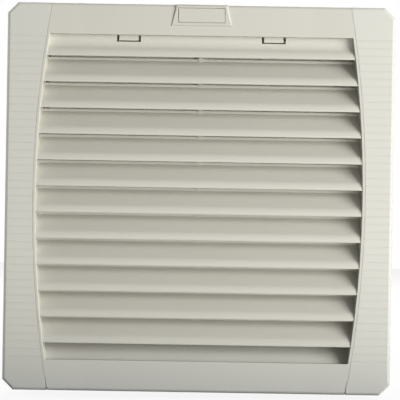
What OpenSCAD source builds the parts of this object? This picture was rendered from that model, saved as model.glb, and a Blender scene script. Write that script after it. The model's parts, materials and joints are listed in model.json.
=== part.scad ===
// Cabinet filter fan: louvred front with a filter mat and an axial fan, snapped into a square cut-out
// in a cabinet door. The front faces -Y and the cabinet's inside lies towards +Y.
// The plane y = 0 is the outer skin of the cabinet, where the gasket seals.

/* [Front] */
// Width and height of the square front
front_size = 255; // [250:1:270]
// Distance of the grille's face from the cabinet skin
front_depth = 25; // [24:0.5:30]
// Chamfer across each corner of the front
corner_cut = 7; // [4:0.5:12]
// Rounding of the front rim
rim_round = 2.5; // [1:0.25:4]
// Wall of the moulded shells
shell = 2.5; // [2:0.1:3]
// How far the side cheeks stand proud of the grille
cheek_proud = 0.5; // [0.2:0.1:1]
// Pitch of the grooves across the cheeks
groove_pitch = 5.02; // [4:0.02:8]
// Width of one groove
groove_width = 0.8; // [0.6:0.1:2]
// Depth of one groove
groove_depth = 0.12; // [0.1:0.02:0.4]

/* [Louvre grille] */
// Number of slat noses that show in the opening
slat_count = 12; // [9:1:13]
// Height of the plain band above and below the slats
band_height = 20.4; // [18:0.2:24]
// Width of each cheek at the top and bottom edges
cheek_width = 29.6; // [26:0.05:36]
// How far each side of the grille bows outwards at mid height
panel_bow = 11.15; // [6:0.05:13]
// Width of the rail between the slats and the seam
rail_width = 1.35; // [1.2:0.05:4]
// Open seam between grille and cheek behind the front bead
seam_gap = 0.8; // [0.75:0.05:1.2]
// Seam left open beside the front bead of the rail
bead_gap = 0.3; // [0.25:0.05:0.5]
// Height of the first nose below the top band
first_drop = 14.3; // [12:0.1:16]
// Radius of the rounded nose of a slat
nose_radius = 7.5; // [6:0.25:9]
// Thickness of a slat
slat_wall = 1.8; // [1.4:0.1:2.2]
// Width of a latch tongue with its slots
tongue_width = 15.8; // [10:0.1:20]
// Distance of each latch tongue from the middle
tongue_offset = 47.8; // [30:0.1:60]
// Radius of the hinge pegs
peg_radius = 1.5; // [1.2:0.1:1.6]
// Radial clearance of the pegs in the cheeks
peg_clearance = 0.05; // [0.02:0.01:0.1]

/* [Finger grip] */
// Width of the raised grip at the top edge
grip_top_width = 34.3; // [25:0.1:45]
// Width of the raised grip at its lower edge
grip_low_width = 40; // [30:0.1:50]
// Height of the raised grip
grip_height = 14.2; // [12:0.1:16]
// How far the grip stands out at the top edge
grip_rise = 1.4; // [1.1:0.1:2]
// How far the grip stands out at its lower edge
grip_step = 0.6; // [0.2:0.1:1]
// Width of the blank nameplate
plate_width = 31; // [20:0.5:33]
// Height of the blank nameplate
plate_height = 9.9; // [6:0.1:10.5]

/* [Mounting] */
// How far the front laps past the cabinet's square cut-out on each side
flange_lap = 15.5; // [14.5:0.1:18]
// Play of the locating spigot in the cut-out
cutout_play = 1; // [0.5:0.1:2]
// Thickest cabinet skin the latches close on
skin_thickness = 2.2; // [1.5:0.1:3]
// Thickness of the gasket
gasket_thickness = 3; // [2:0.25:4]
// Width of the gasket
gasket_width = 8; // [5:0.5:8.5]
// Room for the latches between the box and the edge of the cut-out
latch_room = 7.5; // [7:0.1:9]
// Depth of the box behind the skin
box_depth = 32; // [30:0.5:45]
// Spread of the latches from the middle
latch_offset = 60; // [40:1:80]
// Height of one latch
latch_height = 20; // [14:1:26]
// How far a latch nose stands past the cut-out's edge
latch_grip = 3.5; // [2:0.1:3.8]
// Radius of the latch pins
pin_radius = 1.5; // [1.2:0.1:1.8]
// Radius of the optional screw holes in the flange
screw_hole_radius = 2.25; // [1.5:0.05:2.6]
// Spread of the screw holes across the flange
screw_spread_x = 160; // [120:1:180]

/* [Filter] */
// Thickness of the filter mat
mat_thickness = 12; // [8:0.5:14]
// Bars of the support grid each way
grid_bars = 9; // [5:2:13]
// Thickness of the support grid
grid_thickness = 3; // [2:0.5:5]

/* [Fan] */
// Width of the square fan frame
fan_size = 119; // [110:0.5:126]
// Depth of the fan frame
fan_depth = 38; // [34:0.5:45]
// Spacing of the fan's mounting holes
fan_hole_spacing = 104.8; // [96:0.1:108]
// Radius of the fan's mounting holes
fan_hole_radius = 2.15; // [2.1:0.05:2.5]
// Blades on the impeller
blade_count = 7; // [5:1:9]
// Radius of the impeller hub
hub_radius = 24.5; // [23:0.5:30]
// Clearance between blade tips and the fan's bore
tip_clearance = 1.2; // [0.6:0.1:2]
// Radius of the motor shaft
shaft_radius = 2.48; // [1.9:0.01:2.98]
// Radial clearance of the shaft in its bearings
shaft_clearance = 0.02; // [0.01:0.01:0.06]
// Rings of the finger guard
guard_rings = 6; // [4:1:8]
// Wire radius of the finger guard
wire_radius = 0.9; // [0.7:0.05:1.1]
// Radius of the fan's two leads over their insulation
lead_radius = 1.1; // [0.8:0.05:1.2]

/* [Hidden] */
$fn = 96;
eps = 0.02;
half = front_size / 2;
panel_end_width = front_size - 2 * cheek_width;
cutout = front_size - 2 * flange_lap;
box_size = cutout - 2 * latch_room;
y_front = -front_depth;
y_cheek = y_front - cheek_proud;
y_flange = -gasket_thickness;
flange_plate = 3;
y_plate = y_flange - flange_plate;
rim_rise = 3;
y_rim = y_plate - rim_rise;
grille_rear = y_rim - 0.6;
rim_inner = half - 9.5;

bow_radius = (half * half + panel_bow * panel_bow) / (2 * panel_bow);
seam_half = panel_end_width / 2 + panel_bow;
grille_half = seam_half - seam_gap / 2;
cheek_half = seam_half + seam_gap / 2;
open_half = grille_half - rail_width;
bead_half = cheek_half - bead_gap;
bead_depth = 1.4;
bead_low = -half + 15;
open_top = half - band_height;

slat_pitch = (2 * open_top - first_drop + 6) / slat_count;
nose_top = open_top - first_drop;
slope_start_h = nose_radius * sin(45);
slope_start_d = nose_radius * (1 - cos(45));
recess_depth = 2 * slope_start_d;
sweep_height = 2 * slope_start_h;
last_setback = 3.2;
lip_height = 1.6;
rib_width = 3;
slat_top = slat_pitch - 0.1;
slope_end_h = slat_top - lip_height;
slope_end_d = slope_start_d + slope_end_h - slope_start_h;
slat_depth = slope_end_d + slat_wall;
rib_y = y_front + slope_end_d - 0.4;
rib_low = nose_top - (slat_count - 1) * slat_pitch + 0.5;

peg_y = y_front + 3;
peg_z = -half + 2.5;
grip_edge = 1.2;
peg_reach = 3.6;
peg_boss = 9;
peg_edge = grille_half - bow_radius + sqrt(bow_radius * bow_radius - peg_z * peg_z);

box_half = box_size / 2;
box_wall = 2.5;
box_inner = box_half - box_wall;
y_mat = y_rim;
y_grid = y_mat + mat_thickness;
y_ledge = y_grid + grid_thickness;
ledge = 3;
y_fan_plate = box_depth;
fan_plate_thickness = 3;
y_fan = y_fan_plate + fan_plate_thickness;
y_fan_end = y_fan + fan_depth;
spigot_half = (cutout - cutout_play) / 2;
spigot_end = 0.6;
gasket_outer = half - 2.5;
gasket_inner = gasket_outer - gasket_width;
screw_z = (gasket_outer + gasket_inner) / 2;

latch_pivot_x = box_half + latch_room * 8 / 15;
latch_pivot_y = 20;
latch_eye = 2.9;
latch_tip_y = skin_thickness;
latch_nose_x = cutout / 2 + latch_grip;
ear_wall = 3;
ear_reach = latch_room - 0.7;
ear_length = 10;
ear_gap = 0.3;
pin_clearance = 0.04;

plate_screw_radius = 1.6;
plate_screw_length = 14;
fan_screw_radius = 2;
nut_height = 3.2;
nut_radius = 2.02 * fan_screw_radius;
fan_half = fan_size / 2;
fan_bore = fan_half - 2;
blade_tip = fan_bore - tip_clearance;
fan_flange = 4.5;
hole_at = fan_hole_spacing / 2;
bearing_outer = 6.5;
bearing_bore = shaft_radius + shaft_clearance;
cup_outer = hub_radius - 2.3;
cup_wall = 1.2;
stator_radius = cup_outer - cup_wall - 0.6;
tube_outer = bearing_outer + 2;
winding_height = 3.4;
winding_gap = 0.6;
bearing_width = 5;
hub_y0 = y_fan + 2.5;
hub_y1 = y_fan_end - 6.5;
tube_y = hub_y0 + 8;
stator_y0 = tube_y + 1.6 + winding_height;
stator_y1 = hub_y1 - winding_height - 0.6;
base_y = y_fan_end - 4;
y_guard = y_fan_end + wire_radius;
fan_screw_length = fan_depth + fan_plate_thickness + 2 * wire_radius + nut_height + 1.8;
boss_at = box_inner - 5;
terminal_x = box_inner - 28;
terminal_z = -(box_inner - 20);
terminal_w = 34;
terminal_d = 17;
terminal_h = 16;
terminal_screw = 2.6;
terminal_pole = terminal_w / 3;
barrel_outer = fan_bore + 2;
plug_y = y_fan + fan_flange + 0.1;
plug_length = 9;
plug_height = 7;
lead_y = plug_y + 2.4;
lead_side = 4.25;
lead_bend = 6;

// Solid between two planes across Y from an outline drawn in X and Z
module slab(y0, y1) {
  translate([0, y1, 0])
    rotate([90, 0, 0])
      linear_extrude(y1 - y0)
        children();
}

// Solid across X from an outline drawn in Y and Z
module across(x0, x1) {
  translate([x0, 0, 0])
    rotate([90, 0, 90])
      linear_extrude(x1 - x0)
        children();
}

// Round bar along Y
module round_y(r, y0, y1) {
  translate([0, y0, 0])
    rotate([-90, 0, 0])
      cylinder(r = r, h = y1 - y0);
}

// Turned solid about Y from an outline of radius and Y
module turned_y() {
  rotate([-90, 0, 0])
    rotate_extrude()
      children();
}

// Square outline with its four corners cut at 45 degrees
module front_outline(h, cut) {
  polygon([
    [-h + cut, -h], [h - cut, -h], [h, -h + cut], [h, h - cut],
    [h - cut, h], [-h + cut, h], [-h, h - cut], [-h, -h + cut]
  ]);
}

// Bowed outline of the grille for a given half width at mid height
module bowed(w) {
  intersection() {
    translate([w - bow_radius, 0])
      circle(r = bow_radius, $fn = 720);
    translate([bow_radius - w, 0])
      circle(r = bow_radius, $fn = 720);
    square([2 * w + 10, 2 * half], center = true);
  }
}

// Cutter that rounds the front edge whose outward side points at an angle
module rim_cut(angle, distance, y) {
  rotate([0, -angle, 0])
    linear_extrude(2 * front_size, center = true)
      translate([distance - rim_round, y + rim_round])
        difference() {
          translate([0, -rim_round - 1])
            square([rim_round + 1, rim_round + 1]);
          circle(r = rim_round + eps);
        }
}

// Rounding all round the cheeks' outer rim
module cheek_rim() {
  for (a = [0 : 90 : 270])
    rim_cut(a, half, y_cheek);
  for (a = [45 : 90 : 315])
    rim_cut(a, (2 * half - corner_cut) / sqrt(2), y_cheek);
}

// Grooved region of a cheek in X and Z
module groove_zone() {
  difference() {
    square([2 * half - 2.6, 2 * open_top + groove_pitch / 2], center = true);
    bowed(cheek_half + 2);
  }
}

// One V groove along X
module v_groove(z) {
  across(cheek_half - panel_bow, half)
    polygon([
      [y_cheek - eps, z + groove_width / 2],
      [y_cheek - eps, z - groove_width / 2],
      [y_cheek + groove_depth, z]
    ]);
}

// Right cheek: a shell closed at the front, set on the frame's rim, with a bore for the hinge peg
module cheek_shell() {
  lines = floor(2 * open_top / groove_pitch / 2);
  difference() {
    slab(y_cheek, y_rim)
      intersection() {
        difference() {
          front_outline(half, corner_cut);
          bowed(cheek_half);
        }
        translate([half / 2, 0])
          square([half, 2 * half], center = true);
      }
    difference() {
      slab(y_cheek + shell, y_rim + 1)
        intersection() {
          difference() {
            front_outline(half - shell, corner_cut);
            bowed(cheek_half + shell);
          }
          translate([half / 2, 0])
            square([half, 2 * half], center = true);
        }
      translate([half - cheek_width - peg_boss, y_cheek, -half])
        cube([2.5 * peg_boss, peg_boss, peg_boss]);
    }
    cheek_rim();
    translate([peg_edge, peg_y, peg_z])
      rotate([0, 90, 0])
        cylinder(r = peg_radius + peg_clearance, h = peg_reach + seam_gap + 0.4);
    intersection() {
      for (i = [-lines : lines])
        v_groove(i * groove_pitch);
      slab(y_cheek - 1, y_cheek + 1)
        groove_zone();
    }
  }
}

module side_cheek_right() {
  color("#cfcdc0")
    cheek_shell();
}

module side_cheek_left() {
  color("#cfcdc0")
    mirror([1, 0, 0])
      cheek_shell();
}

// Cross section of one louvre slat, its lower nose edge at the origin
module slat_profile() {
  steps = 12;
  inner = nose_radius - slat_wall;
  root = slat_wall / sin(45);
  polygon(concat(
    [for (i = [0 : steps])
      [nose_radius * (1 - cos(45 * i / steps)), nose_radius * sin(45 * i / steps)]],
    [[slope_end_d, slope_end_h], [slope_end_d, slat_top], [slat_depth, slat_top],
      [slat_depth, slope_end_h - root + slat_wall]],
    [for (i = [steps : -1 : 0])
      [nose_radius - inner * cos(45 * i / steps), inner * sin(45 * i / steps)]]
  ));
}

// Cross section of the top shelf: a nose that sweeps back up into the wall behind the top band
module shelf_profile() {
  steps = 12;
  inner = nose_radius - slat_wall;
  outer = nose_radius + slat_wall;
  polygon(concat(
    [for (i = [0 : steps])
      [nose_radius * (1 - cos(45 * i / steps)), nose_radius * sin(45 * i / steps)]],
    [for (i = [steps - 1 : -1 : 0])
      [recess_depth - nose_radius * (1 - cos(45 * i / steps)), sweep_height - nose_radius * sin(45 * i / steps)]],
    [[recess_depth, first_drop + 1], [recess_depth + slat_wall, first_drop + 1]],
    [for (i = [0 : steps])
      [recess_depth - nose_radius + outer * cos(45 * i / steps), sweep_height - outer * sin(45 * i / steps)]],
    [for (i = [steps - 1 : -1 : 0])
      [nose_radius - inner * cos(45 * i / steps), inner * sin(45 * i / steps)]]
  ));
}

// All slats, cut to the bowed opening
module slats() {
  intersection() {
    union() {
      translate([0, y_front, nose_top])
        across(-grille_half, grille_half)
          shelf_profile();
      for (i = [1 : slat_count])
        translate([0, y_front + (i == slat_count ? last_setback : 0), nose_top - i * slat_pitch])
          across(-grille_half, grille_half)
            slat_profile();
    }
    slab(y_front, grille_rear)
      bowed(open_half + 0.5);
  }
}

// Raised finger grip: a low step at its lower edge, thicker at the top edge, with drafted slanting sides
module finger_grip() {
  low = half - grip_height;
  slant = atan((grip_low_width - grip_top_width) / 2 / grip_height);
  draft = 40;
  difference() {
    across(-grip_low_width, grip_low_width)
      polygon([
        [y_front + 1, low], [y_front, low], [y_front - grip_step, low + grip_step],
        [y_front - grip_rise, half - grip_edge], [y_front - grip_rise + 0.8, half - 0.4], [y_front + 1, half - 0.4]
      ]);
    for (s = [0, 1])
      mirror([s, 0, 0])
        translate([grip_low_width / 2, y_front, low])
          rotate([0, -slant, 0])
            rotate([0, 0, -draft])
              translate([0, -grip_low_width, -grip_height])
                cube([2 * grip_low_width, 2 * grip_low_width, 3 * grip_height]);
  }
}

// Seat of the nameplate, parallel to the grip's sloping face
module nameplate_block(w, h, back, face) {
  run = grip_height - grip_edge - grip_step;
  slope = atan((grip_rise - grip_step) / run);
  middle = half - 7.2;
  above = middle - (half - grip_height + grip_step);
  face_y = y_front - grip_step - (grip_rise - grip_step) * above / run;
  translate([0, face_y, middle])
    rotate([slope, 0, 0])
      translate([-w / 2, -face, -h / 2])
        cube([w, face + back, h]);
}

module nameplate() {
  color("#d2d0c4")
    nameplate_block(plate_width - 0.8, plate_height - 0.8, 0.95, 0);
}

// Latch tongue slots through the wall behind the top band, one U per tongue
module tongue_slots() {
  side = 1.5;
  drop = 4.3;
  for (s = [-1, 1])
    translate([s * tongue_offset, 0, 0]) {
      for (t = [-1, 1])
        translate([t * (tongue_width - side) / 2 - side / 2, y_front + recess_depth - 0.5, open_top - drop])
          cube([side, 4, drop]);
      translate([-tongue_width / 2, y_front + recess_depth - 0.5, open_top - drop])
        cube([tongue_width, 4, 0.9]);
    }
}

// Arm of each latch tongue that slips under the catch on the frame
module tongue_arms() {
  w = tongue_width - 4.4;
  for (s = [-1, 1])
    translate([s * tongue_offset - w / 2, y_front + recess_depth + 1, open_top - 3])
      cube([w, y_plate - 0.5 - (y_front + recess_depth + 1), 2.2]);
}

module louvre_grille() {
  color("#d2d0c4")
    difference() {
      union() {
        slab(y_front, y_front + shell)
          difference() {
            bowed(grille_half);
            square([3 * half, 2 * open_top], center = true);
          }
        slab(y_front, grille_rear)
          difference() {
            bowed(grille_half);
            bowed(open_half);
          }
        slab(y_front, y_front + bead_depth)
          intersection() {
            difference() {
              bowed(bead_half);
              bowed(open_half);
            }
            translate([-half, bead_low])
              square([2 * half, half - bead_low]);
          }
        for (s = [-1, 1])
          slab(y_front, grille_rear)
            intersection() {
              bowed(grille_half);
              translate([0, s * (half - shell / 2)])
                square([3 * half, shell], center = true);
            }
        slab(y_front, y_front + recess_depth + slat_wall)
          intersection() {
            bowed(grille_half);
            translate([0, open_top + 1])
              square([3 * half, 2], center = true);
          }
        slats();
        translate([-rib_width / 2, rib_y, rib_low])
          cube([rib_width, y_rim - 0.2 - rib_y, open_top - rib_low]);
        tongue_arms();
        finger_grip();
        for (s = [-1, 1])
          translate([s * (peg_edge - 1), peg_y, peg_z])
            rotate([0, s * 90, 0])
              cylinder(r = peg_radius, h = peg_reach + 1 + seam_gap);
      }
      difference() {
        rim_cut(90, half, y_front);
        translate([-grip_top_width / 2 - 0.6, y_front - 2, half - 6])
          cube([grip_top_width + 1.2, rim_round + 4, 8]);
      }
      rim_cut(270, half, y_front);
      tongue_slots();
      nameplate_block(plate_width, plate_height, 1, 2);
    }
}

// Frame: flange behind the front, locating spigot, rear box, latch ears and screw bosses
module latch_ears() {
  for (sx = [-1, 1], sz = [-1, 1], t = [-1, 1])
    translate([sx * box_half, 0, sz * latch_offset + t * (latch_height + ear_wall + 2 * ear_gap) / 2])
      difference() {
        translate([sx > 0 ? -1 : -ear_reach, latch_pivot_y - ear_length / 2, -ear_wall / 2])
          cube([ear_reach + 1, ear_length, ear_wall]);
        translate([sx * (latch_pivot_x - box_half), latch_pivot_y, -ear_wall])
          cylinder(r = pin_radius, h = 2 * ear_wall);
      }
}

module base_frame() {
  color("#bfbdb0")
    difference() {
      union() {
        slab(y_rim, y_flange)
          front_outline(half, corner_cut);
        slab(y_flange, spigot_end)
          square(2 * spigot_half, center = true);
        slab(y_plate, box_depth)
          square(box_size, center = true);
        latch_ears();
      }
      slab(y_rim - 1, y_plate)
        square(2 * rim_inner, center = true);
      difference() {
        slab(y_plate - 1, box_depth + 1)
          square(2 * box_inner, center = true);
        difference() {
          slab(y_ledge, y_ledge + 2.5)
            square(2 * box_inner + 1, center = true);
          slab(y_ledge - 1, y_ledge + 4)
            square(2 * (box_inner - ledge), center = true);
        }
        for (sx = [-1, 1], sz = [-1, 1])
          translate([sx * boss_at, 0, sz * boss_at])
            slab(y_ledge, box_depth)
              square(11, center = true);
      }
      slab(y_flange - 0.2, 2)
        difference() {
          square(2 * (spigot_half - 2.5), center = true);
          square(box_size, center = true);
        }
      for (sx = [-1, 1], sz = [-1, 1]) {
        translate([sx * boss_at, 0, sz * boss_at])
          round_y(plate_screw_radius, box_depth - plate_screw_length, box_depth + 1);
        translate([sx * screw_spread_x / 2, 0, sz * screw_z])
          round_y(screw_hole_radius, y_rim - 1, y_flange + 1);
      }
    }
  color("#bfbdb0")
    for (s = [-1, 1])
      translate([s * tongue_offset - tongue_width / 2, y_rim + 0.4, open_top - 0.3])
        cube([tongue_width, y_plate - y_rim, 2.5]);
}

module flange_gasket() {
  color("#3a3a38")
    difference() {
      slab(y_flange, 0)
        difference() {
          front_outline(gasket_outer, corner_cut);
          front_outline(gasket_inner, corner_cut * 0.4);
        }
      for (sx = [-1, 1], sz = [-1, 1])
        translate([sx * screw_spread_x / 2, 0, sz * screw_z])
          round_y(screw_hole_radius + 0.4, y_flange - 1, 1);
    }
}

module filter_mat() {
  color("#f2f2ee")
    slab(y_mat, y_grid)
      square(2 * box_inner - 0.6, center = true);
}

// Moulded grid that carries the mat and keeps fingers off the impeller
module support_grid() {
  size = 2 * box_inner - 0.8;
  step = (size - 2) / (grid_bars + 1);
  color("#bfbdb0")
    slab(y_grid, y_ledge)
      union() {
        difference() {
          square(size, center = true);
          square(size - 8, center = true);
        }
        for (i = [-(grid_bars - 1) / 2 : (grid_bars - 1) / 2]) {
          translate([i * step, 0])
            square([2, size - 4], center = true);
          translate([0, i * step])
            square([size - 4, 2], center = true);
        }
      }
}

// Snap latch: an eye on the pin and an arm with a nose that closes behind the cabinet skin
module latch_body() {
  arm_in = latch_pivot_x + 1.2;
  arm_out = cutout / 2 - 0.3;
  difference() {
    translate([0, 0, -latch_height / 2])
      linear_extrude(latch_height)
        union() {
          translate([latch_pivot_x, latch_pivot_y])
            circle(r = latch_eye);
          polygon([
            [latch_pivot_x + 0.4, latch_pivot_y + 1], [latch_pivot_x + 0.4, latch_pivot_y - 2.6],
            [arm_in, latch_pivot_y - 6], [arm_in, latch_tip_y],
            [latch_nose_x, latch_tip_y], [latch_nose_x, latch_tip_y + 1.2],
            [arm_out, latch_pivot_y - 6], [latch_pivot_x + latch_eye, latch_pivot_y]
          ]);
        }
    translate([latch_pivot_x, latch_pivot_y, -latch_height])
      cylinder(r = pin_radius + pin_clearance, h = 2 * latch_height);
  }
}

module latch_upper_right() {
  color("#46484a")
    translate([0, 0, latch_offset])
      latch_body();
}

module latch_lower_right() {
  color("#46484a")
    translate([0, 0, -latch_offset])
      latch_body();
}

module latch_upper_left() {
  color("#46484a")
    translate([0, 0, latch_offset])
      mirror([1, 0, 0])
        latch_body();
}

module latch_lower_left() {
  color("#46484a")
    translate([0, 0, -latch_offset])
      mirror([1, 0, 0])
        latch_body();
}

module latch_pins() {
  length = latch_height + 2 * (ear_wall + ear_gap) + 1;
  color("#b8babc")
    for (sx = [-1, 1], sz = [-1, 1])
      translate([sx * latch_pivot_x, latch_pivot_y, sz * latch_offset - length / 2])
        cylinder(r = pin_radius, h = length);
}

// Plate behind the box with the inlet ring for the fan
module fan_plate() {
  mouth = fan_bore + 0.5;
  lip = 2.5 * fan_plate_thickness;
  color("#a9a89c")
    difference() {
      union() {
        slab(y_fan_plate, y_fan)
          square(box_size, center = true);
        turned_y()
          polygon([
            [mouth, y_fan_plate - 0.7 * lip], [mouth + 0.55 * lip, y_fan_plate - lip],
            [mouth + 0.8 * lip, y_fan_plate - 0.8 * lip], [mouth + 0.4 * lip, y_fan_plate - 0.4 * lip],
            [mouth + 0.35 * lip, y_fan], [mouth, y_fan]
          ]);
      }
      round_y(mouth, y_fan_plate - 20, y_fan + 1);
      for (sx = [-1, 1], sz = [-1, 1]) {
        translate([sx * boss_at, 0, sz * boss_at])
          round_y(plate_screw_radius + 0.5, y_fan_plate - 1, y_fan + 1);
        translate([sx * hole_at, 0, sz * hole_at])
          round_y(fan_hole_radius, y_fan_plate - 1, y_fan + 1);
      }
    }
}

// Pan head screw along Y with its head towards +Y and a cross recess
module pan_screw(r, length, head_r, head_h) {
  difference() {
    union() {
      round_y(r, -length, 0.1);
      intersection() {
        round_y(head_r, 0, head_h);
        translate([0, head_h - 1.6 * head_r, 0])
          sphere(r = 1.6 * head_r);
      }
    }
    for (a = [0, 90])
      rotate([0, a, 0])
        translate([-head_r * 0.55, head_h * 0.45, -0.4])
          cube([head_r * 1.1, head_h, 0.8]);
  }
}

module plate_screws() {
  color("#b8babc")
    for (sx = [-1, 1], sz = [-1, 1])
      translate([sx * boss_at, y_fan, sz * boss_at])
        pan_screw(plate_screw_radius, plate_screw_length, 2.25 * plate_screw_radius, 1.6 * plate_screw_radius);
}

module fan_screws() {
  color("#b8babc")
    for (sx = [-1, 1], sz = [-1, 1])
      translate([sx * hole_at, y_fan_end + 2 * wire_radius, sz * hole_at])
        pan_screw(fan_screw_radius, fan_screw_length, 2 * fan_screw_radius, 1.5 * fan_screw_radius);
}

module fan_nuts() {
  color("#b8babc")
    for (sx = [-1, 1], sz = [-1, 1])
      translate([sx * hole_at, 0, sz * hole_at])
        slab(y_fan_plate - nut_height, y_fan_plate)
          difference() {
            polygon([for (a = [0 : 60 : 300]) [nut_radius * cos(a), nut_radius * sin(a)]]);
            circle(r = fan_screw_radius);
          }
}

// Fan housing: two square flanges on a round barrel, with spokes and a motor base at the outlet
module fan_frame() {
  spoke = 5;
  color("#2b2c2e")
    difference() {
      union() {
        for (y = [y_fan, y_fan_end - fan_flange])
          slab(y, y + fan_flange)
            front_outline(fan_half, 4);
        difference() {
          round_y(fan_bore + 2, y_fan, y_fan_end);
          round_y(fan_bore, y_fan - 1, y_fan_end + 1);
        }
      }
      round_y(fan_bore, y_fan - 1, y_fan_end + 1);
      for (sx = [-1, 1], sz = [-1, 1])
        translate([sx * hole_at, 0, sz * hole_at])
          round_y(fan_hole_radius, y_fan - 1, y_fan_end + 1);
    }
  color("#2b2c2e")
    difference() {
      union() {
        round_y(hub_radius - 0.5, base_y, y_fan_end);
        for (a = [45 : 90 : 315])
          rotate([0, a, 0])
            translate([hub_radius - 2, base_y + 0.5, -spoke / 2])
              cube([fan_bore + 1 - hub_radius + 2, y_fan_end - base_y - 1, spoke]);
        round_y(tube_outer, tube_y, base_y + 1);
      }
      round_y(bearing_outer, hub_y0, base_y + 1);
    }
}

// Two shaft bearings in the bearing tube
module bearings() {
  color("#b8babc")
    for (y = [tube_y + 1, base_y - bearing_width - 0.5])
      difference() {
        round_y(bearing_outer, y, y + bearing_width);
        round_y(bearing_bore, y - 1, y + bearing_width + 1);
      }
}

module stator_core() {
  slots = 8;
  color("#6f7377")
    difference() {
      round_y(stator_radius, stator_y0, stator_y1);
      round_y(tube_outer, hub_y0, base_y);
      for (i = [0 : slots - 1])
        rotate([0, i * 360 / slots, 0])
          translate([stator_radius * 0.88, hub_y0, -stator_radius * 0.04])
            cube([stator_radius * 0.25, fan_depth, stator_radius * 0.08]);
    }
}

module windings() {
  color("#a8622d")
    for (y = [stator_y0 - winding_height, stator_y1])
      turned_y()
        translate([(tube_outer + stator_radius) / 2 - winding_gap, y + winding_height / 2])
          square([stator_radius - tube_outer - 4 * winding_gap, winding_height], center = true);
}

module motor_shaft() {
  color("#b8babc")
    round_y(shaft_radius, hub_y0 + 3.2, base_y - 0.6);
}

// Steel cup of the external rotor, pressed into the impeller hub
module rotor_cup() {
  color("#8d9196")
    difference() {
      union() {
        difference() {
          round_y(cup_outer, hub_y0 + 2, hub_y1);
          round_y(cup_outer - cup_wall, hub_y0 + 2 + cup_wall, hub_y1 + 1);
        }
        round_y(shaft_radius + 2.5, hub_y0 + 2, hub_y0 + 7);
      }
      round_y(shaft_radius, hub_y0 + 3.2, hub_y0 + 12);
    }
}

// Point on a blade surface: u along the radius, v along the chord, side +1 or -1 across the thickness
function blade_point(u, v, side) =
  let (
    r = hub_radius - 0.6 + (blade_tip - hub_radius + 0.6) * u,
    chord = 24 + 13 * u,
    pitch = 48 - 20 * u,
    lean = 10 * u,
    camber = 0.07 * chord * 4 * v * (1 - v),
    thick = (0.35 + 1.7 * sqrt(max(v * (1 - v), 0)) * (1 - 0.35 * v)) * (1.15 - 0.35 * u),
    along = (v - 0.5) * chord,
    normal = camber + side * thick / 2,
    axial = along * sin(pitch) - normal * cos(pitch),
    swing = (along * cos(pitch) + normal * sin(pitch)) / r * 180 / PI + lean
  )
  [r * cos(swing), axial, r * sin(swing)];

// One cambered, twisted and swept fan blade as a closed skin
module blade() {
  nu = 8;
  nv = 10;
  ring = 2 * nv;
  points = [
    for (i = [0 : nu]) each concat(
      [for (j = [0 : nv]) blade_point(i / nu, j / nv, 1)],
      [for (j = [nv - 1 : -1 : 1]) blade_point(i / nu, j / nv, -1)]
    )
  ];
  skin = [
    for (i = [0 : nu - 1], j = [0 : ring - 1]) each [
      [i * ring + j, i * ring + (j + 1) % ring, (i + 1) * ring + j],
      [i * ring + (j + 1) % ring, (i + 1) * ring + (j + 1) % ring, (i + 1) * ring + j]
    ]
  ];
  root = [for (j = [0 : ring - 1]) ring - 1 - j];
  tip = [for (j = [0 : ring - 1]) nu * ring + j];
  polyhedron(points = points, faces = concat(skin, [root], [tip]), convexity = 4);
}

module impeller() {
  color("#1f2022")
    union() {
      turned_y()
        polygon([
          [0, hub_y0 + 1.95], [0, hub_y0], [hub_radius - 2, hub_y0], [hub_radius, hub_y0 + 2],
          [hub_radius, hub_y1], [cup_outer, hub_y1], [cup_outer, hub_y0 + 1.95]
        ]);
      for (i = [0 : blade_count - 1])
        rotate([0, i * 360 / blade_count, 0])
          translate([0, (hub_y0 + hub_y1) / 2, 0])
            blade();
    }
}

// Wire guard over the fan outlet: rings, four arms and an eye at each fan screw
module finger_guard() {
  first = 16;
  step = (fan_bore - 2 - first) / (guard_rings - 1);
  last = first + step * (guard_rings - 1);
  color("#c9ccce")
    union() {
      for (i = [0 : guard_rings - 1])
        translate([0, y_guard + 1.4 * wire_radius, 0])
          turned_y()
            translate([first + i * step, 0])
              circle(r = wire_radius, $fn = 32);
      for (sx = [-1, 1], sz = [-1, 1]) {
        rotate([0, -atan2(sz, sx), 0])
          translate([first - 1, y_guard, 0])
            rotate([0, 90, 0])
              cylinder(r = wire_radius, h = hole_at * sqrt(2) - 3 - first + 1, $fn = 32);
        translate([sx * hole_at, y_guard, sz * hole_at])
          turned_y()
            translate([2.2 + wire_radius, 0])
              circle(r = wire_radius, $fn = 32);
      }
    }
}

// Plug on the fan's two blades, in a corner of the fan frame between its flanges
module lead_plug() {
  width = 2 * lead_side + 4;
  color("#242527")
    rotate([0, 45, 0])
      difference() {
        translate([barrel_outer - 1, plug_y, -width / 2])
          cube([plug_length + 1, plug_height, width]);
        round_y(barrel_outer + 0.05, plug_y - 1, plug_y + plug_height + 1);
        for (s = [-1, 1])
          translate([barrel_outer + 3, lead_y, s * lead_side])
            rotate([0, 90, 0])
              cylinder(r = lead_radius, h = plug_length);
        translate([barrel_outer + plug_length - 2, plug_y - 1, -1])
          cube([3, plug_height + 2, 2]);
      }
}

// One lead from the plug, bent once, into a pole of the terminal block
module fan_lead(side, end_x) {
  corner_z = -end_x + side * lead_side * sqrt(2);
  corner_run = end_x * sqrt(2) - side * lead_side;
  tangent = lead_bend * tan(22.5);
  translate([end_x - lead_bend, lead_y, corner_z - tangent])
    rotate([90, 0, 0]) {
      rotate_extrude(angle = 45)
        translate([lead_bend, 0])
          circle(r = lead_radius, $fn = 32);
      rotate([0, 0, 45])
        translate([lead_bend, 0, 0])
          rotate([-90, 0, 0])
            cylinder(r = lead_radius, h = corner_run - tangent - barrel_outer - 3, $fn = 32);
      translate([lead_bend, 0, 0])
        rotate([90, 0, 0])
          cylinder(r = lead_radius, h = corner_z - tangent - terminal_z + 3, $fn = 32);
    }
}

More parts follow.
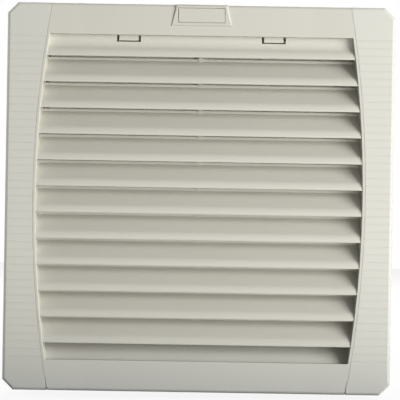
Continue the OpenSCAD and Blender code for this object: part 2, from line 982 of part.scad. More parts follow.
module fan_leads() {
  color("#1d1e20") {
    fan_lead(1, terminal_x);
    fan_lead(-1, terminal_x - terminal_pole);
  }
}

// Three pole terminal block on the fan plate
module terminal_block() {
  pole = terminal_pole;
  color("#8f9089")
    translate([terminal_x, y_fan, terminal_z])
      difference() {
        translate([-terminal_w / 2, 0, -terminal_h / 2])
          cube([terminal_w, terminal_d, terminal_h]);
        for (i = [-1 : 1])
          translate([i * pole, 0, 0]) {
            round_y(terminal_screw + 0.05, terminal_d * 0.4, terminal_d + 1);
            round_y(terminal_screw + 0.5, terminal_d * 0.75, terminal_d + 1);
            translate([-0.28 * pole, terminal_d * 0.2, -terminal_h])
              cube([0.56 * pole, terminal_d * 0.3, 2 * terminal_h]);
          }
        for (i = [-1, 1])
          translate([i * pole / 2 - 0.05 * pole, terminal_d * 0.25, -terminal_h])
            cube([0.1 * pole, terminal_d, 2 * terminal_h]);
      }
}

// Clamping screws, each down to the top of a lead
module terminal_screws() {
  color("#c8b070")
    for (i = [-1 : 1])
      translate([terminal_x + i * terminal_pole, y_fan, terminal_z])
        difference() {
          round_y(terminal_screw, lead_y + lead_radius - y_fan, terminal_d * 0.92);
          translate([-2 * terminal_screw, terminal_d * 0.86, -0.15 * terminal_screw])
            cube([4 * terminal_screw, terminal_d, 0.3 * terminal_screw]);
        }
}

base_frame();
side_cheek_left();
side_cheek_right();
louvre_grille();
nameplate();
filter_mat();
support_grid();
flange_gasket();
latch_upper_left();
latch_upper_right();
latch_lower_left();
latch_lower_right();
latch_pins();
fan_plate();
plate_screws();
fan_frame();
bearings();
stator_core();
windings();
motor_shaft();
rotor_cup();
impeller();
finger_guard();
fan_screws();
fan_nuts();
lead_plug();
fan_leads();
terminal_block();
terminal_screws();
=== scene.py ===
import json
import math

import bmesh
import bpy
import numpy as np
from mathutils import Matrix, Vector, noise


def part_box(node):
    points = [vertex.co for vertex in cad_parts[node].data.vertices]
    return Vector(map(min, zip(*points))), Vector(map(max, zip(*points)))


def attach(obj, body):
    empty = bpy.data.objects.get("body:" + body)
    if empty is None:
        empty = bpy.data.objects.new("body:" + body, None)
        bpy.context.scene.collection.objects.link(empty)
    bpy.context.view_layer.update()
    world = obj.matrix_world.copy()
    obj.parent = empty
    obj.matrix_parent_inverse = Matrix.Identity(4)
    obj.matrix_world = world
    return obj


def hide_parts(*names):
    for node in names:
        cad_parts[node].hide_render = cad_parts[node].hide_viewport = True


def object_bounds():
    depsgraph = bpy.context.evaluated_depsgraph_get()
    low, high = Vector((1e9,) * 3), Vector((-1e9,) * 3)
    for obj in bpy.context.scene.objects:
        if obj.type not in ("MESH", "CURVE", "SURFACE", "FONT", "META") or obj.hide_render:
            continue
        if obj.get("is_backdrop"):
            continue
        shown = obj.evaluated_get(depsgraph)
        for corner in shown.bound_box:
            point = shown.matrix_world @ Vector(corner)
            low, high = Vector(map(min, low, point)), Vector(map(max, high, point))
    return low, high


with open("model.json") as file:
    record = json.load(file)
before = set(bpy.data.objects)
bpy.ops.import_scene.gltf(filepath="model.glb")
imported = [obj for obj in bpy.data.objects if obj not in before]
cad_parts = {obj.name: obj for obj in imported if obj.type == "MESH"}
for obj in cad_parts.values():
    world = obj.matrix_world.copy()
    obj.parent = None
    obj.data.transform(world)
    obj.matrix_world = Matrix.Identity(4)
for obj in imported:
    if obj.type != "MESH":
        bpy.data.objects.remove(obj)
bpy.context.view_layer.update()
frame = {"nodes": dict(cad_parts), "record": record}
nodes = frame["nodes"]

MM = 0.001
scene = bpy.context.scene

# Colour sockets of a Mix node
MIX_A, MIX_B, MIX_RESULT = 6, 7, 2


def linear(hex_code, share=1.0):
    """Linear RGBA of an sRGB hex colour, made darker or lighter by a share."""
    out = []
    for i in (1, 3, 5):
        c = int(hex_code[i:i + 2], 16) / 255
        c = c / 12.92 if c <= 0.04045 else ((c + 0.055) / 1.055) ** 2.4
        out.append(min(1.0, c * share))
    return (*out, 1.0)


def node(tree, kind, inputs=(), **settings):
    """Adds a shader node. Settings are its properties, or inputs by name. Each pair in inputs is a socket to link
    or a value to set, and the input's name or number."""
    n = tree.nodes.new(kind)
    for key, value in settings.items():
        if hasattr(n, key):
            setattr(n, key, value)
        else:
            n.inputs[key.replace("_", " ")].default_value = value
    for source, name in inputs:
        if isinstance(source, bpy.types.NodeSocket):
            tree.links.new(source, n.inputs[name])
        else:
            n.inputs[name].default_value = source
    return n


def new_material(name):
    """An empty node material, its tree and its place in the object's own coordinates."""
    material = bpy.data.materials.new(name)
    material.use_nodes = True
    tree = material.node_tree
    tree.nodes.clear()
    return material, tree, node(tree, "ShaderNodeTexCoord").outputs["Object"]


# Moulded plastic, in mm: length over which tone and gloss drift, heights between which the painted cooler foot tint
# takes over, reach of the painted shade beside a groove, and the height and depth that bound the grooved front
DRIFT_LENGTH, FOOT_LOW, FOOT_HIGH = 60, -128, -85
GROOVE_SHADE_REACH, GROOVES_END, GROOVED_FRONT = 1.1, 107, -25.2
# Shares by which tone and roughness drift, and what the painted groove shade lets through
TONE_DRIFT, GLOSS_DRIFT, GROOVE_SHADE_TONE = 0.02, 0.04, (0.95, 0.95, 0.945, 1)


def moulded_plastic(name, colour, rough, grain_mm, grain_depth_mm, painted_foot_tint=None, groove_pitch_mm=None):
    """Injection-moulded plastic: matt from the tool's eroded texture, with a slight drift of tone and gloss.
    The grain is drawn several times coarser than the real one of about 0.1 mm, or it wouldn't show.
    A painted foot tint, where given, takes over towards the lower edge: a cooler tone that stands in for the cooler
    light falling there.
    With a groove pitch, painted shade darkens a narrow band along each of the front's grooves."""
    material, tree, place = new_material(name)
    grain = node(tree, "ShaderNodeTexNoise", [(place, "Vector")], Scale=1 / (grain_mm * MM), Detail=2.0)
    drift = node(tree, "ShaderNodeTexNoise", [(place, "Vector")], Scale=1 / (DRIFT_LENGTH * MM), Detail=3.0)
    tone = node(tree, "ShaderNodeMix",
                [(drift.outputs["Fac"], "Factor"), (linear(colour, 1 - TONE_DRIFT), MIX_A),
                 (linear(colour, 1 + TONE_DRIFT), MIX_B)], data_type="RGBA")
    # Painted light: towards the lower edge the tone turns cooler, standing in for the cooler light that falls on the
    # foot
    if painted_foot_tint:
        at = node(tree, "ShaderNodeSeparateXYZ", [(place, 0)]).outputs
        fade = node(tree, "ShaderNodeMapRange", [(at["Z"], "Value")], interpolation_type="SMOOTHSTEP",
                    From_Min=FOOT_LOW * MM, From_Max=FOOT_HIGH * MM)
        tone = node(tree, "ShaderNodeMix",
                    [(fade.outputs["Result"], "Factor"), (linear(painted_foot_tint), MIX_A),
                     (tone.outputs[MIX_RESULT], MIX_B)], data_type="RGBA")
    # Painted shade: the colour darkens in a narrow band along each groove of the front, where shade falls in the
    # groove
    if groove_pitch_mm:
        at = node(tree, "ShaderNodeSeparateXYZ", [(place, 0)]).outputs
        away = node(tree, "ShaderNodeMath", [(at["Z"], 0), (groove_pitch_mm / 2 * MM, 1)], operation="PINGPONG")
        groove_shade = node(tree, "ShaderNodeMapRange", [(away.outputs[0], "Value")], interpolation_type="SMOOTHSTEP",
                    From_Max=GROOVE_SHADE_REACH * MM, To_Min=1.0, To_Max=0.0)
        height = node(tree, "ShaderNodeMath", [(at["Z"], 0)], operation="ABSOLUTE")
        for source, limit in ((height.outputs[0], GROOVES_END), (at["Y"], GROOVED_FRONT)):
            inside = node(tree, "ShaderNodeMath", [(source, 0), (limit * MM, 1)], operation="LESS_THAN")
            groove_shade = node(tree, "ShaderNodeMath", [(groove_shade.outputs[0], 0), (inside.outputs[0], 1)], operation="MULTIPLY")
        tone = node(tree, "ShaderNodeMix",
                    [(groove_shade.outputs[0], "Factor"), (tone.outputs[MIX_RESULT], MIX_A), (GROOVE_SHADE_TONE, MIX_B)],
                    data_type="RGBA", blend_type="MULTIPLY")
    gloss = node(tree, "ShaderNodeMapRange", [(drift.outputs["Fac"], "Value")],
                 To_Min=rough - GLOSS_DRIFT, To_Max=rough + GLOSS_DRIFT)
    bump = node(tree, "ShaderNodeBump", [(grain.outputs["Fac"], "Height")],
                Strength=1.0, Distance=grain_depth_mm * MM)
    shader = node(tree, "ShaderNodeBsdfPrincipled",
                  [(tone.outputs[MIX_RESULT], "Base Color"), (gloss.outputs["Result"], "Roughness"),
                   (bump.outputs["Normal"], "Normal")], IOR=1.5)
    node(tree, "ShaderNodeOutputMaterial", [(shader.outputs["BSDF"], "Surface")])
    return material


# Size of the patches that handling leaves on metal, in mm
HANDLED_PATCH = 7


def metal(name, colour, rough, grain_mm, depth_mm):
    """Plated, ground or drawn metal: bright, with fine tool marks and patches that handling has dulled.
    The tool marks are drawn coarser than the real ones of a few hundredths of a millimetre, or they wouldn't show."""
    material, tree, place = new_material(name)
    grain = node(tree, "ShaderNodeTexNoise", [(place, "Vector")], Scale=1 / (grain_mm * MM), Detail=2.0)
    patches = node(tree, "ShaderNodeTexNoise", [(place, "Vector")], Scale=1 / (HANDLED_PATCH * MM), Detail=4.0)
    tone = node(tree, "ShaderNodeMix",
                [(patches.outputs["Fac"], "Factor"), (linear(colour, 0.9), MIX_A), (linear(colour, 1.06), MIX_B)],
                data_type="RGBA")
    gloss = node(tree, "ShaderNodeMapRange", [(patches.outputs["Fac"], "Value")],
                 To_Min=rough * 0.75, To_Max=rough * 1.3)
    bump = node(tree, "ShaderNodeBump", [(grain.outputs["Fac"], "Height")], Strength=1.0, Distance=depth_mm * MM)
    shader = node(tree, "ShaderNodeBsdfPrincipled",
                  [(tone.outputs[MIX_RESULT], "Base Color"), (gloss.outputs["Result"], "Roughness"),
                   (bump.outputs["Normal"], "Normal")], Metallic=1.0)
    node(tree, "ShaderNodeOutputMaterial", [(shader.outputs["BSDF"], "Surface")])
    return material


# Needled mat, in mm: spacing of strands and clumps, and depth of the tangle
STRAND_SPACING, CLUMP_SIZE, TANGLE_DEPTH = 2.6, 9, 0.5
# Weight of the clumps against the strands, range of depth that shades, and the painted shade of the deepest places
CLUMP_WEIGHT, SHADE_LOW, SHADE_HIGH, PAINTED_DEEP_SHADE = 0.4, 0.3, 1.2, 0.78


def fibre_mat(name, colour):
    """Needled synthetic fibre: white and fully matt, a tangle of strands over soft clumps, with painted shade where
    the tangle is deep.
    The strands are drawn much coarser than the real fibres of a few hundredths of a millimetre, or none would show."""
    material, tree, place = new_material(name)
    strands = node(tree, "ShaderNodeTexNoise", [(place, "Vector")], noise_type="RIDGED_MULTIFRACTAL",
                   Scale=1 / (STRAND_SPACING * MM), Detail=5.0, Distortion=1.2)
    clumps = node(tree, "ShaderNodeTexNoise", [(place, "Vector")], Scale=1 / (CLUMP_SIZE * MM), Detail=3.0)
    soft = node(tree, "ShaderNodeMath", [(clumps.outputs["Fac"], 0), (CLUMP_WEIGHT, 1)], operation="MULTIPLY")
    depth = node(tree, "ShaderNodeMath", [(strands.outputs["Fac"], 0), (soft.outputs[0], 1)], operation="ADD")
    # Painted shade: the colour darkens where the tangle is deepest
    shade = node(tree, "ShaderNodeMapRange", [(depth.outputs[0], "Value")], From_Min=SHADE_LOW, From_Max=SHADE_HIGH)
    tone = node(tree, "ShaderNodeMix",
                [(shade.outputs["Result"], "Factor"), (linear(colour, PAINTED_DEEP_SHADE), MIX_A), (linear(colour), MIX_B)],
                data_type="RGBA")
    bump = node(tree, "ShaderNodeBump", [(depth.outputs[0], "Height")], Strength=1.0, Distance=TANGLE_DEPTH * MM)
    shader = node(tree, "ShaderNodeBsdfPrincipled",
                  [(tone.outputs[MIX_RESULT], "Base Color"), (bump.outputs["Normal"], "Normal")],
                  Roughness=0.95, Sheen_Weight=0.3)
    node(tree, "ShaderNodeOutputMaterial", [(shader.outputs["BSDF"], "Surface")])
    return material


# Foamed gasket, in mm: size of the cells, length over which the skin's thickness changes, and depth of the cells
CELL_SIZE, SKIN_LENGTH, CELL_DEPTH = 0.7, 4, 0.12


def foam(name, colour):
    """Foamed-in polyurethane: dark and dull, a closed skin over small cells, a little paler where the skin is thin."""
    material, tree, place = new_material(name)
    cells = node(tree, "ShaderNodeTexVoronoi", [(place, "Vector")], Scale=1 / (CELL_SIZE * MM))
    skin = node(tree, "ShaderNodeTexNoise", [(place, "Vector")], Scale=1 / (SKIN_LENGTH * MM), Detail=4.0)
    tone = node(tree, "ShaderNodeMix",
                [(skin.outputs["Fac"], "Factor"), (linear(colour, 0.75), MIX_A), (linear(colour, 1.35), MIX_B)],
                data_type="RGBA")
    bump = node(tree, "ShaderNodeBump", [(cells.outputs["Distance"], "Height")],
                Strength=0.7, Distance=CELL_DEPTH * MM)
    shader = node(tree, "ShaderNodeBsdfPrincipled",
                  [(tone.outputs[MIX_RESULT], "Base Color"), (bump.outputs["Normal"], "Normal")], Roughness=0.85)
    node(tree, "ShaderNodeOutputMaterial", [(shader.outputs["BSDF"], "Surface")])
    return material


def seen_white(tree):
    """Socket that is 1 for what the camera sees, directly, in a gloss or through something clear."""
    path = node(tree, "ShaderNodeLightPath").outputs
    seen = path["Is Camera Ray"]
    for ray in ("Is Glossy Ray", "Is Transmission Ray"):
        seen = node(tree, "ShaderNodeMath", [(seen, 0), (path[ray], 1)], operation="MAXIMUM").outputs[0]
    return seen


def stage_white(name, seen_colour, bounce_colour, share):
    """Pale studio surface: seen near white with a soft shadow, while it lights the part as a plain grey sheet."""
    material, tree, _ = new_material(name)
    bounce = node(tree, "ShaderNodeBsdfDiffuse", Color=linear(bounce_colour))
    pale = node(tree, "ShaderNodeBsdfDiffuse", Color=linear(seen_colour))
    white = node(tree, "ShaderNodeEmission", Color=(1, 1, 1, 1), Strength=1.0)
    look = node(tree, "ShaderNodeMixShader", [(pale.outputs[0], 1), (white.outputs[0], 2)], Fac=share)
    mix = node(tree, "ShaderNodeMixShader", [(seen_white(tree), 0), (bounce.outputs[0], 1), (look.outputs[0], 2)])
    node(tree, "ShaderNodeOutputMaterial", [(mix.outputs[0], "Surface")])
    return material


# Materials by the record's slots
MATERIALS = {
    # light grey ABS of the visible front, moulded in an eroded tool: matt, with a faint sheen and a cooler tint
    # painted towards the foot for the light there
    "moulded_grey_abs": moulded_plastic("moulded_grey_abs", "#cac8bc", 0.60, 0.5, 0.004, painted_foot_tint="#cdcdc6"),
    # light grey ABS of the frame inside the cabinet, plain tool finish: a little glossier
    "frame_abs": moulded_plastic("frame_abs", "#cbc9be", 0.42, 0.8, 0.003),
    # white needled filter mat: fully matt, fuzzy
    "filter_fibre": fibre_mat("filter_fibre", "#f0efe9"),
    # dark foamed gasket: dull, with small cells
    "gasket_foam": foam("gasket_foam", "#35373a"),
    # dark grey moulded nylon of the latches: satin
    "latch_nylon": moulded_plastic("latch_nylon", "#46494c", 0.45, 0.6, 0.004),
    # zinc plated steel of screws, nuts and pins: bright, slightly cloudy
    "zinc_steel": metal("zinc_steel", "#c3c6c8", 0.32, 0.25, 0.002),
    # black coated die casting of the fan's frame: satin, with the casting's faint roughness
    "black_die_cast": moulded_plastic("black_die_cast", "#26272a", 0.48, 0.7, 0.01),
    # ground steel of shaft and bearings: bright
    "bright_steel": metal("bright_steel", "#c6c8cb", 0.22, 0.2, 0.001),
    # oiled lamination and cup steel: dark, half dull
    "core_steel": metal("core_steel", "#8a8d91", 0.42, 0.4, 0.003),
    # wound copper wire under clear enamel: warm, with ridges
    "copper_wire": metal("copper_wire", "#b5683a", 0.35, 0.4, 0.05),
    # black glass filled nylon of impeller and plug: satin
    "black_nylon": moulded_plastic("black_nylon", "#1e1f21", 0.40, 0.6, 0.003),
    # chromed guard wire: mirror bright
    "chromed_wire": metal("chromed_wire", "#d5d7da", 0.14, 0.5, 0.001),
    # grey moulded nylon of the terminal block: satin
    "terminal_nylon": moulded_plastic("terminal_nylon", "#8f918b", 0.45, 0.6, 0.004),
    # turned brass of the terminal screws: yellow, bright
    "brass_screw": metal("brass_screw", "#cdae63", 0.28, 0.2, 0.002),
    # extruded black PVC of the fan's leads: slightly shiny
    "lead_pvc": moulded_plastic("lead_pvc", "#202124", 0.38, 0.9, 0.004),
}

# The cheeks are separate pieces with a tone a little cooler than the grille's, and painted shade along their grooves
GROOVE_PITCH = 5.02
CHEEK_ABS = moulded_plastic("grooved_grey_abs", "#cecdc3", 0.60, 0.5, 0.004,
                            painted_foot_tint="#cdcdc6", groove_pitch_mm=GROOVE_PITCH)

# Edge rounding of each slot's pieces, in mm: moulded edges are softer than cut metal
EDGE = {
    "moulded_grey_abs": 0.2, "frame_abs": 0.4, "latch_nylon": 0.3, "black_die_cast": 0.4,
    "zinc_steel": 0.12, "terminal_nylon": 0.3, "brass_screw": 0.1,
}
# Steps across a rounded edge, and the angle above which an edge stays sharp: the cheeks' grooves are shallow
ROUND_STEPS = {"moulded_grey_abs": 8}
SHARP_ANGLE = {"moulded_grey_abs": 14}
PLAIN_STEPS, PLAIN_ANGLE = 2, 35
# Points closer than this become one, in mm; faces within this angle become one; edges above this angle are rounded
WELD_LIMIT, FLAT_ANGLE, ROUNDED_ANGLE = 0.002, 0.6, 35

for entry in frame["record"]["subparts"]:
    piece, slot = nodes[entry["node"]], entry["material_slot"]
    piece.data.materials.clear()
    piece.data.materials.append(CHEEK_ABS if entry["node"].startswith("side_cheek") else MATERIALS[slot])
    piece.data.polygons.foreach_set("use_smooth", np.ones(len(piece.data.polygons), bool))
    weld = piece.modifiers.new("weld", "WELD")
    weld.merge_threshold = WELD_LIMIT * MM
    if slot in EDGE:
        flat = piece.modifiers.new("flat", "DECIMATE")
        flat.decimate_type = "DISSOLVE"
        flat.angle_limit = math.radians(FLAT_ANGLE)
        bevel = piece.modifiers.new("edge", "BEVEL")
        bevel.width = EDGE[slot] * MM
        bevel.segments = ROUND_STEPS.get(slot, PLAIN_STEPS)
        bevel.limit_method = "ANGLE"
        bevel.angle_limit = math.radians(ROUNDED_ANGLE)
        bevel.use_clamp_overlap = True
    split = piece.modifiers.new("sharp", "EDGE_SPLIT")
    split.split_angle = math.radians(SHARP_ANGLE.get(slot, PLAIN_ANGLE))
    level = piece.modifiers.new("level", "WEIGHTED_NORMAL")
    level.mode = "FACE_AREA"
    level.weight = 100


def mesh_piece(name, points, faces, slot, body, smooth=True):
    """New piece from points in metres that takes a slot's finish and rides on a body."""
    mesh = bpy.data.meshes.new(name)
    mesh.from_pydata([tuple(p) for p in points], [], faces)
    mesh.polygons.foreach_set("use_smooth", np.full(len(mesh.polygons), smooth))
    mesh.materials.append(MATERIALS[slot])
    piece = bpy.data.objects.new(name, mesh)
    scene.collection.objects.link(piece)
    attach(piece, body)
    return piece


def block_lattice(counts):
    """Surface points and quads of a block divided into counts of cells along x, y and z, as whole numbers."""
    index, quads = {}, []
    for axis in range(3):
        u, v = (axis + 1) % 3, (axis + 2) % 3
        for side in (0, counts[axis]):
            for a in range(counts[u]):
                for b in range(counts[v]):
                    quad = []
                    for da, db in ((0, 0), (1, 0), (1, 1), (0, 1)):
                        key = [0, 0, 0]
                        key[axis], key[u], key[v] = side, a + da, b + db
                        quad.append(index.setdefault(tuple(key), len(index)))
                    quads.append(quad if side else quad[::-1])
    return np.array(list(index), float), quads


# Filter mat, in mm: rounding of its cut edges, how far its faces dip, and length of its waves and lumps
MAT_ROUND, MAT_DIP, MAT_WAVE, MAT_LUMP = 1.8, 0.5, 14, 3.5
MAT_CELLS = (84, 6, 84)
# Loose fibres on its front: how many, their radius, margin from the edges and depth of their ends, in mm
FIBRES, FIBRE_RADIUS, FIBRE_MARGIN, FIBRE_SINK = 900, 0.06, 3, 0.4
# Rings along a fibre and points in a ring, largest turn from ring to ring, ranges of ring spacing and rise in mm
FIBRE_RINGS, FIBRE_SIDES, FIBRE_BEND = 7, 3, 0.35
FIBRE_STRIDE, FIBRE_LOFT = (0.6, 1.5), (0.1, 0.45)


def felt_points(low, high, lattice, counts):
    """Lattice points on a cut felt block: rounded edges, and faces that dip inside the box."""
    radius = MAT_ROUND * MM
    middle, half = (low + high) / 2, (high - low) / 2
    place = (2 * lattice / counts - 1) * half
    core = np.clip(place, radius - half, half - radius)
    out = (place - core) / np.linalg.norm(place - core, axis=1)[:, None]
    points = []
    for c, o, p in zip(core, out, place):
        wave, lump = (noise.noise(Vector(p / (length * MM))) for length in (MAT_WAVE, MAT_LUMP))
        points.append(middle + c + o * (radius - MAT_DIP * MM * (0.5 + 0.3 * wave + 0.2 * lump)))
    return points


def fibre_tubes(low, high, rng):
    """Loose fibres that lie on the front face of a felt block, each a thin bent tube."""
    radius, margin = FIBRE_RADIUS * MM, FIBRE_MARGIN * MM
    points, quads = [], []
    for _ in range(FIBRES):
        x, z = rng.uniform(low[0] + margin, high[0] - margin), rng.uniform(low[2] + margin, high[2] - margin)
        heading, bend = rng.uniform(0, 2 * math.pi), rng.uniform(-FIBRE_BEND, FIBRE_BEND)
        stride, loft = rng.uniform(*FIBRE_STRIDE) * MM, rng.uniform(*FIBRE_LOFT) * MM
        first = len(points)
        for k in range(FIBRE_RINGS):
            y = low[1] + FIBRE_SINK * MM - loft * math.sin(math.pi * k / (FIBRE_RINGS - 1))
            for t in range(FIBRE_SIDES):
                turn = 2 * math.pi * t / FIBRE_SIDES
                across = radius * math.cos(turn)
                points.append((x - across * math.sin(heading), y + radius * math.sin(turn),
                               z + across * math.cos(heading)))
            x, z = x + stride * math.cos(heading), z + stride * math.sin(heading)
            heading += bend
        for k in range(FIBRE_RINGS - 1):
            for t in range(FIBRE_SIDES):
                a, b = first + k * FIBRE_SIDES + t, first + k * FIBRE_SIDES + (t + 1) % FIBRE_SIDES
                quads.append([a, b, b + FIBRE_SIDES, a + FIBRE_SIDES])
    return points, quads


# Filter mat: a cut block of needled fibre with dipping faces and loose fibres on its front
low, high = (np.array(c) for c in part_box("filter_mat"))
counts = np.array(MAT_CELLS)
lattice, quads = block_lattice(counts)
felt = felt_points(low, high, lattice, counts)
strand_points, strand_quads = fibre_tubes(low, high, np.random.default_rng(7))
strand_quads = [[i + len(felt) for i in q] for q in strand_quads]
mat = mesh_piece("needled_filter_mat", felt + strand_points, quads + strand_quads, "filter_fibre", "frame")
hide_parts("filter_mat")


def ring_path(half, corner, step):
    """Stations on a square path with round corners: place in x and z, and the outward direction."""
    straight = half - corner
    stations = []
    for quarter in range(4):
        turn = quarter * math.pi / 2
        side = [((half, t), (1, 0)) for t in np.arange(-straight, straight, step)]
        arc = [((straight + corner * math.cos(a), straight + corner * math.sin(a)), (math.cos(a), math.sin(a)))
               for a in np.linspace(0, math.pi / 2, 9)[:-1]]
        c, s = math.cos(turn), math.sin(turn)
        for (x, z), (nx, nz) in side + arc:
            stations.append((x * c - z * s, x * s + z * c, nx * c - nz * s, nx * s + nz * c))
    return stations


# Gasket bead, in mm: width, corner radius, spacing of its stations, how far sides and crown wander, length of a
# wander, and length of the lap where the bead starts and ends, in the middle of the foot
BEAD_WIDTH, BEAD_CORNER, BEAD_STATION = 8, 8, 2
SIDE_WANDER, CROWN_WANDER, WANDER_LENGTH, LAP_LENGTH = 0.12, 0.1, 11, 5
# Steps across the bead, and the power that squares its section
BEAD_STEPS, BEAD_POWER = 14, 0.72
# Room round the flange screws that pass through it, and depth and sides of the cut, in mm
SCREW_ROOM, CUT_DEPTH, CUT_SIDES = 0.4, 20, 32

# Gasket: a foamed-in bead with a low crown, a slightly wandering edge and a lap where it was started and ended
low, high = (np.array(c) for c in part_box("flange_gasket"))
stations = ring_path(high[0] - BEAD_WIDTH * MM / 2, BEAD_CORNER * MM, BEAD_STATION * MM)
points = []
for x, z, nx, nz in stations:
    swell = noise.noise(Vector((x, 0.1, z)) / (WANDER_LENGTH * MM))
    lap = math.exp(-((x / (LAP_LENGTH * MM)) ** 2)) if z < -0.1 else 0.0
    wide = BEAD_WIDTH * MM / 2 - SIDE_WANDER * MM * (1 + swell)
    tall = (high[1] - low[1]) - CROWN_WANDER * MM * (1 + swell) * (1 - lap)
    for k in range(BEAD_STEPS + 1):
        turn = math.pi * k / BEAD_STEPS
        across = wide * math.copysign(abs(math.cos(turn)) ** BEAD_POWER, math.cos(turn))
        points.append((x + nx * across, low[1] + tall * math.sin(turn) ** BEAD_POWER, z + nz * across))
ring = BEAD_STEPS + 1
quads = []
for i in range(len(stations)):
    j = (i + 1) % len(stations)
    for k in range(ring):
        l = (k + 1) % ring
        quads.append([i * ring + k, i * ring + l, j * ring + l, j * ring + k])
gasket = mesh_piece("foamed_gasket", points, quads, "gasket_foam", "frame")

# The flange screws pass through the bead with a little room
screws = next(m for m in frame["record"]["mounts"] if m["name"] == "panel_screws")["dims"]
room = (screws["hole_r_mm"] + SCREW_ROOM) * MM
bm = bmesh.new()
for sx in (-1, 1):
    for sz in (-1, 1):
        hole = bmesh.ops.create_cone(bm, cap_ends=True, segments=CUT_SIDES, radius1=room, radius2=room,
                                     depth=CUT_DEPTH * MM)
        bmesh.ops.rotate(bm, verts=hole["verts"], matrix=Matrix.Rotation(math.pi / 2, 3, "X"))
        bmesh.ops.translate(bm, verts=hole["verts"],
                            vec=(sx * screws["spacing_x_mm"] / 2 * MM, 0, sz * screws["spacing_y_mm"] / 2 * MM))
cutter_mesh = bpy.data.meshes.new("screw_room")
bm.to_mesh(cutter_mesh)
bm.free()
cutter = bpy.data.objects.new("screw_room", cutter_mesh)
scene.collection.objects.link(cutter)
cut = gasket.modifiers.new("screw_room", "BOOLEAN")
cut.operation, cut.solver, cut.object = "DIFFERENCE", "EXACT", cutter
bpy.context.view_layer.update()
whole = bpy.data.meshes.new_from_object(gasket.evaluated_get(bpy.context.evaluated_depsgraph_get()))
gasket.modifiers.clear()
gasket.data = whole
bpy.data.objects.remove(cutter)
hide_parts("flange_gasket")

# Seam between grille and cheeks, in mm. Sizes of the source that its pieces follow: radius of the bow; half widths of
# the cheeks' edges, the grille, its bead and its opening; half the front; opening's top; bead's lower end; rim's round
BOW_RADIUS, CHEEK_HALF, GRILLE_HALF, BEAD_HALF, OPEN_HALF = 734.549, 109.45, 108.65, 109.15, 107.3
HALF, OPEN_TOP, BEAD_LOW, RIM_ROUND = 127.5, 107.1, -119.0, 2.5
GRILLE_FRONT, CHEEK_FRONT = -25.0, -25.5
# Spacing of sections along the seam and round the rim, and the height of the last ones
SECTION_STEP, RIM_STEP, LAST_SECTION = 2, 0.25, 127.2
# How deep the pieces sit in what carries them, their small bevel, and the round at the rail's inner edge
SEAT, BEVEL, RAIL_ROUND = 0.1, 0.1, 0.3
INNER_SETBACK = 0.05
# The lip lies a little behind the cheek's front and goes in to a depth. At the foot, below the bead, it's as wide as
# the swing of the grille leaves room for
LIP_SINK, LIP_DEPTH, LIP_WIDTH, LIP_LOW = 0.12, 0.8, 0.2, -119.5
FOOT_HEIGHTS, FOOT_WIDTHS = (-126, -124, -122, LIP_LOW), (0.18, 0.34, 0.49, 0.58)
# Length over which the raised face runs out on a band, and how far its thin end stays behind the band's front
BAND_TAPER, TAPER_END = 25.0, 0.01


def bowed_edge(half_width, z):
    """Distance of a bowed outline from the middle at a height."""
    return half_width - BOW_RADIUS + math.sqrt(BOW_RADIUS ** 2 - z ** 2)


def rim_drop(z):
    """How far the rounded top and bottom rim lies behind the front at a height."""
    past = max(0.0, abs(z) - (HALF - RIM_ROUND))
    return RIM_ROUND - math.sqrt(RIM_ROUND ** 2 - past ** 2)


def heights(low, high):
    """Heights from low to high, closer together round the rim."""
    plain = np.arange(-126, 126.1, SECTION_STEP)
    rim = np.arange(HALF - RIM_ROUND, 127.3, RIM_STEP)
    return sorted({low, high, *(z for z in (*plain, *-rim, *rim) if low < z < high)})


def loft(sections):
    """Points in metres and faces of a closed solid through sections, each a list of places in mm in one sense."""
    count = len(sections[0])
    points = [tuple(c * MM for c in p) for section in sections for p in section]
    faces = []
    for i in range(len(sections) - 1):
        for k in range(count):
            l = (k + 1) % count
            faces.append([i * count + k, i * count + l, (i + 1) * count + l, (i + 1) * count + k])
    last = (len(sections) - 1) * count
    return points, faces + [list(range(count))[::-1], [last + k for k in range(count)]]


def seam_piece(name, side, bars, body):
    """One piece of several lofted bars, mirrored for the left side."""
    points, faces = [], []
    for sections in bars:
        bar_points, bar_faces = loft(sections)
        faces += [[i + len(points) for i in (f if side > 0 else f[::-1])] for f in bar_faces]
        points += [(side * x, y, z) for x, y, z in bar_points]
    mesh_piece(name, points, faces, "moulded_grey_abs", body, smooth=False)


def lip_section(z, width):
    """Lip on the cheek's edge, a little behind the cheek's front, that closes most of the seam."""
    x, y = bowed_edge(CHEEK_HALF, z), rim_drop(z)
    front, back = CHEEK_FRONT + LIP_SINK + y, GRILLE_FRONT + LIP_DEPTH + y
    return [(x - width, front, z), (x - width, back, z), (x + SEAT, back, z), (x + SEAT, front, z)]


def rail_section(z, half_width):
    """Raised face of a side rail, level with the cheek."""
    x, inner, base = bowed_edge(half_width, z), bowed_edge(OPEN_HALF, z) + INNER_SETBACK, GRILLE_FRONT + SEAT
    return [(x, base, z), (x, CHEEK_FRONT + BEVEL, z), (x - BEVEL, CHEEK_FRONT, z),
            (inner + RAIL_ROUND, CHEEK_FRONT, z), (inner, CHEEK_FRONT + RAIL_ROUND, z), (inner, base, z)]


def band_section(z, half_width):
    """Face of a plain band that rises to the level of the cheek at the seam."""
    x, y = bowed_edge(half_width, z), rim_drop(z)
    end, base = x - BAND_TAPER, GRILLE_FRONT + SEAT + y
    return [(x, base, z), (x, CHEEK_FRONT + BEVEL + y, z), (x - BEVEL, CHEEK_FRONT + y, z),
            (end, GRILLE_FRONT + TAPER_END + y, z), (end, base, z)]


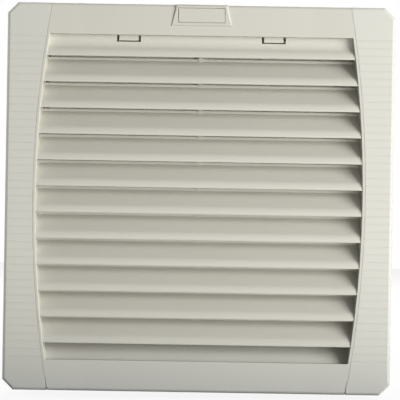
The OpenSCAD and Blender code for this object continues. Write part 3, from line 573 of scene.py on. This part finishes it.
for side, word in ((-1, "left"), (1, "right")):
    seam_piece("seam_lip_" + word, side, [
        [lip_section(z, np.interp(z, FOOT_HEIGHTS, FOOT_WIDTHS)) for z in heights(-LAST_SECTION, LIP_LOW)],
        [lip_section(z, LIP_WIDTH) for z in heights(LIP_LOW, LAST_SECTION)]], "frame")
    seam_piece("rail_face_" + word, side, [
        [band_section(z, GRILLE_HALF) for z in heights(-LAST_SECTION, BEAD_LOW)],
        [band_section(z, BEAD_HALF) for z in heights(BEAD_LOW, -OPEN_TOP)],
        [rail_section(z, BEAD_HALF) for z in heights(-OPEN_TOP, OPEN_TOP)],
        [band_section(z, BEAD_HALF) for z in heights(OPEN_TOP, LAST_SECTION)]], "louvre")

# Camera in front of the grille, turned by the small roll of the view. The front fills 388.4 of the image's 400 pixels
VIEW_DISTANCE, VIEW_SHIFT, VIEW_ROLL, SENSOR = 1.0, 0.82 * MM, -0.95, 36
FRAME_WIDTH = 2 * HALF * 400 / 388.4 * MM
camera_data = bpy.data.cameras.new("camera")
camera_data.sensor_width = SENSOR
camera_data.lens = SENSOR * VIEW_DISTANCE / FRAME_WIDTH
camera = bpy.data.objects.new("camera", camera_data)
scene.collection.objects.link(camera)
camera.location = (VIEW_SHIFT, CHEEK_FRONT * MM - VIEW_DISTANCE, -VIEW_SHIFT)
camera.rotation_euler = (math.radians(90), math.radians(VIEW_ROLL), 0)
scene.camera = camera


def soft_box(name, turn, rise, distance, size, power):
    """Square soft box aimed at the part's front, at a turn to the right and a rise in degrees."""
    data = bpy.data.lights.new(name, "AREA")
    data.shape = "RECTANGLE"
    data.size = data.size_y = size
    data.energy = power
    lamp = bpy.data.objects.new(name, data)
    turn, rise = math.radians(turn), math.radians(rise)
    away = Vector((math.cos(rise) * math.sin(turn), -math.cos(rise) * math.cos(turn), math.sin(rise)))
    lamp.location = Vector((0, GRILLE_FRONT * MM, 0)) + distance * away
    lamp.rotation_euler = (-away).to_track_quat("-Z", "Y").to_euler()
    lamp.visible_camera = False
    scene.collection.objects.link(lamp)


# Large soft box on the right, a low fill in front, and weaker boxes behind and on the left
soft_box("right_soft_box", 51, 6, 1.6, 1.0, 32.3)
soft_box("low_front_fill", 15, -18, 1.3, 0.6, 4.3)
soft_box("rear_soft_box", 178, 35, 1.5, 0.8, 18.0)
soft_box("left_soft_box", -106, 18, 1.5, 0.8, 13.0)

# White room that lights the part softly
world = bpy.data.worlds.new("studio")
scene.world = world
world.use_nodes = True
tree = world.node_tree
tree.nodes.clear()
soft = node(tree, "ShaderNodeBackground", Color=(1, 1, 1, 1), Strength=0.11)
white = node(tree, "ShaderNodeBackground", Color=(1, 1, 1, 1), Strength=1.0)
mix = node(tree, "ShaderNodeMixShader", [(seen_white(tree), 0), (soft.outputs[0], 1), (white.outputs[0], 2)])
node(tree, "ShaderNodeOutputWorld", [(mix.outputs[0], "Surface")])

# Plain pale floor just under the part, ending a little way in front of it, in metres
FLOOR_HEIGHT, FLOOR_FRONT, FLOOR_REACH = -0.131, -0.20, 2
mesh = bpy.data.meshes.new("floor")
mesh.from_pydata([(-FLOOR_REACH, FLOOR_FRONT, FLOOR_HEIGHT), (FLOOR_REACH, FLOOR_FRONT, FLOOR_HEIGHT),
                  (FLOOR_REACH, FLOOR_REACH, FLOOR_HEIGHT), (-FLOOR_REACH, FLOOR_REACH, FLOOR_HEIGHT)],
                 [], [(0, 1, 2, 3)])
floor = bpy.data.objects.new("floor", mesh)
scene.collection.objects.link(floor)
mesh.materials.append(stage_white("pale_floor", "#f4f4f2", "#555553", 0.88))
floor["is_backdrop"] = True

scene.view_settings.view_transform = "Standard"

low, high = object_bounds()
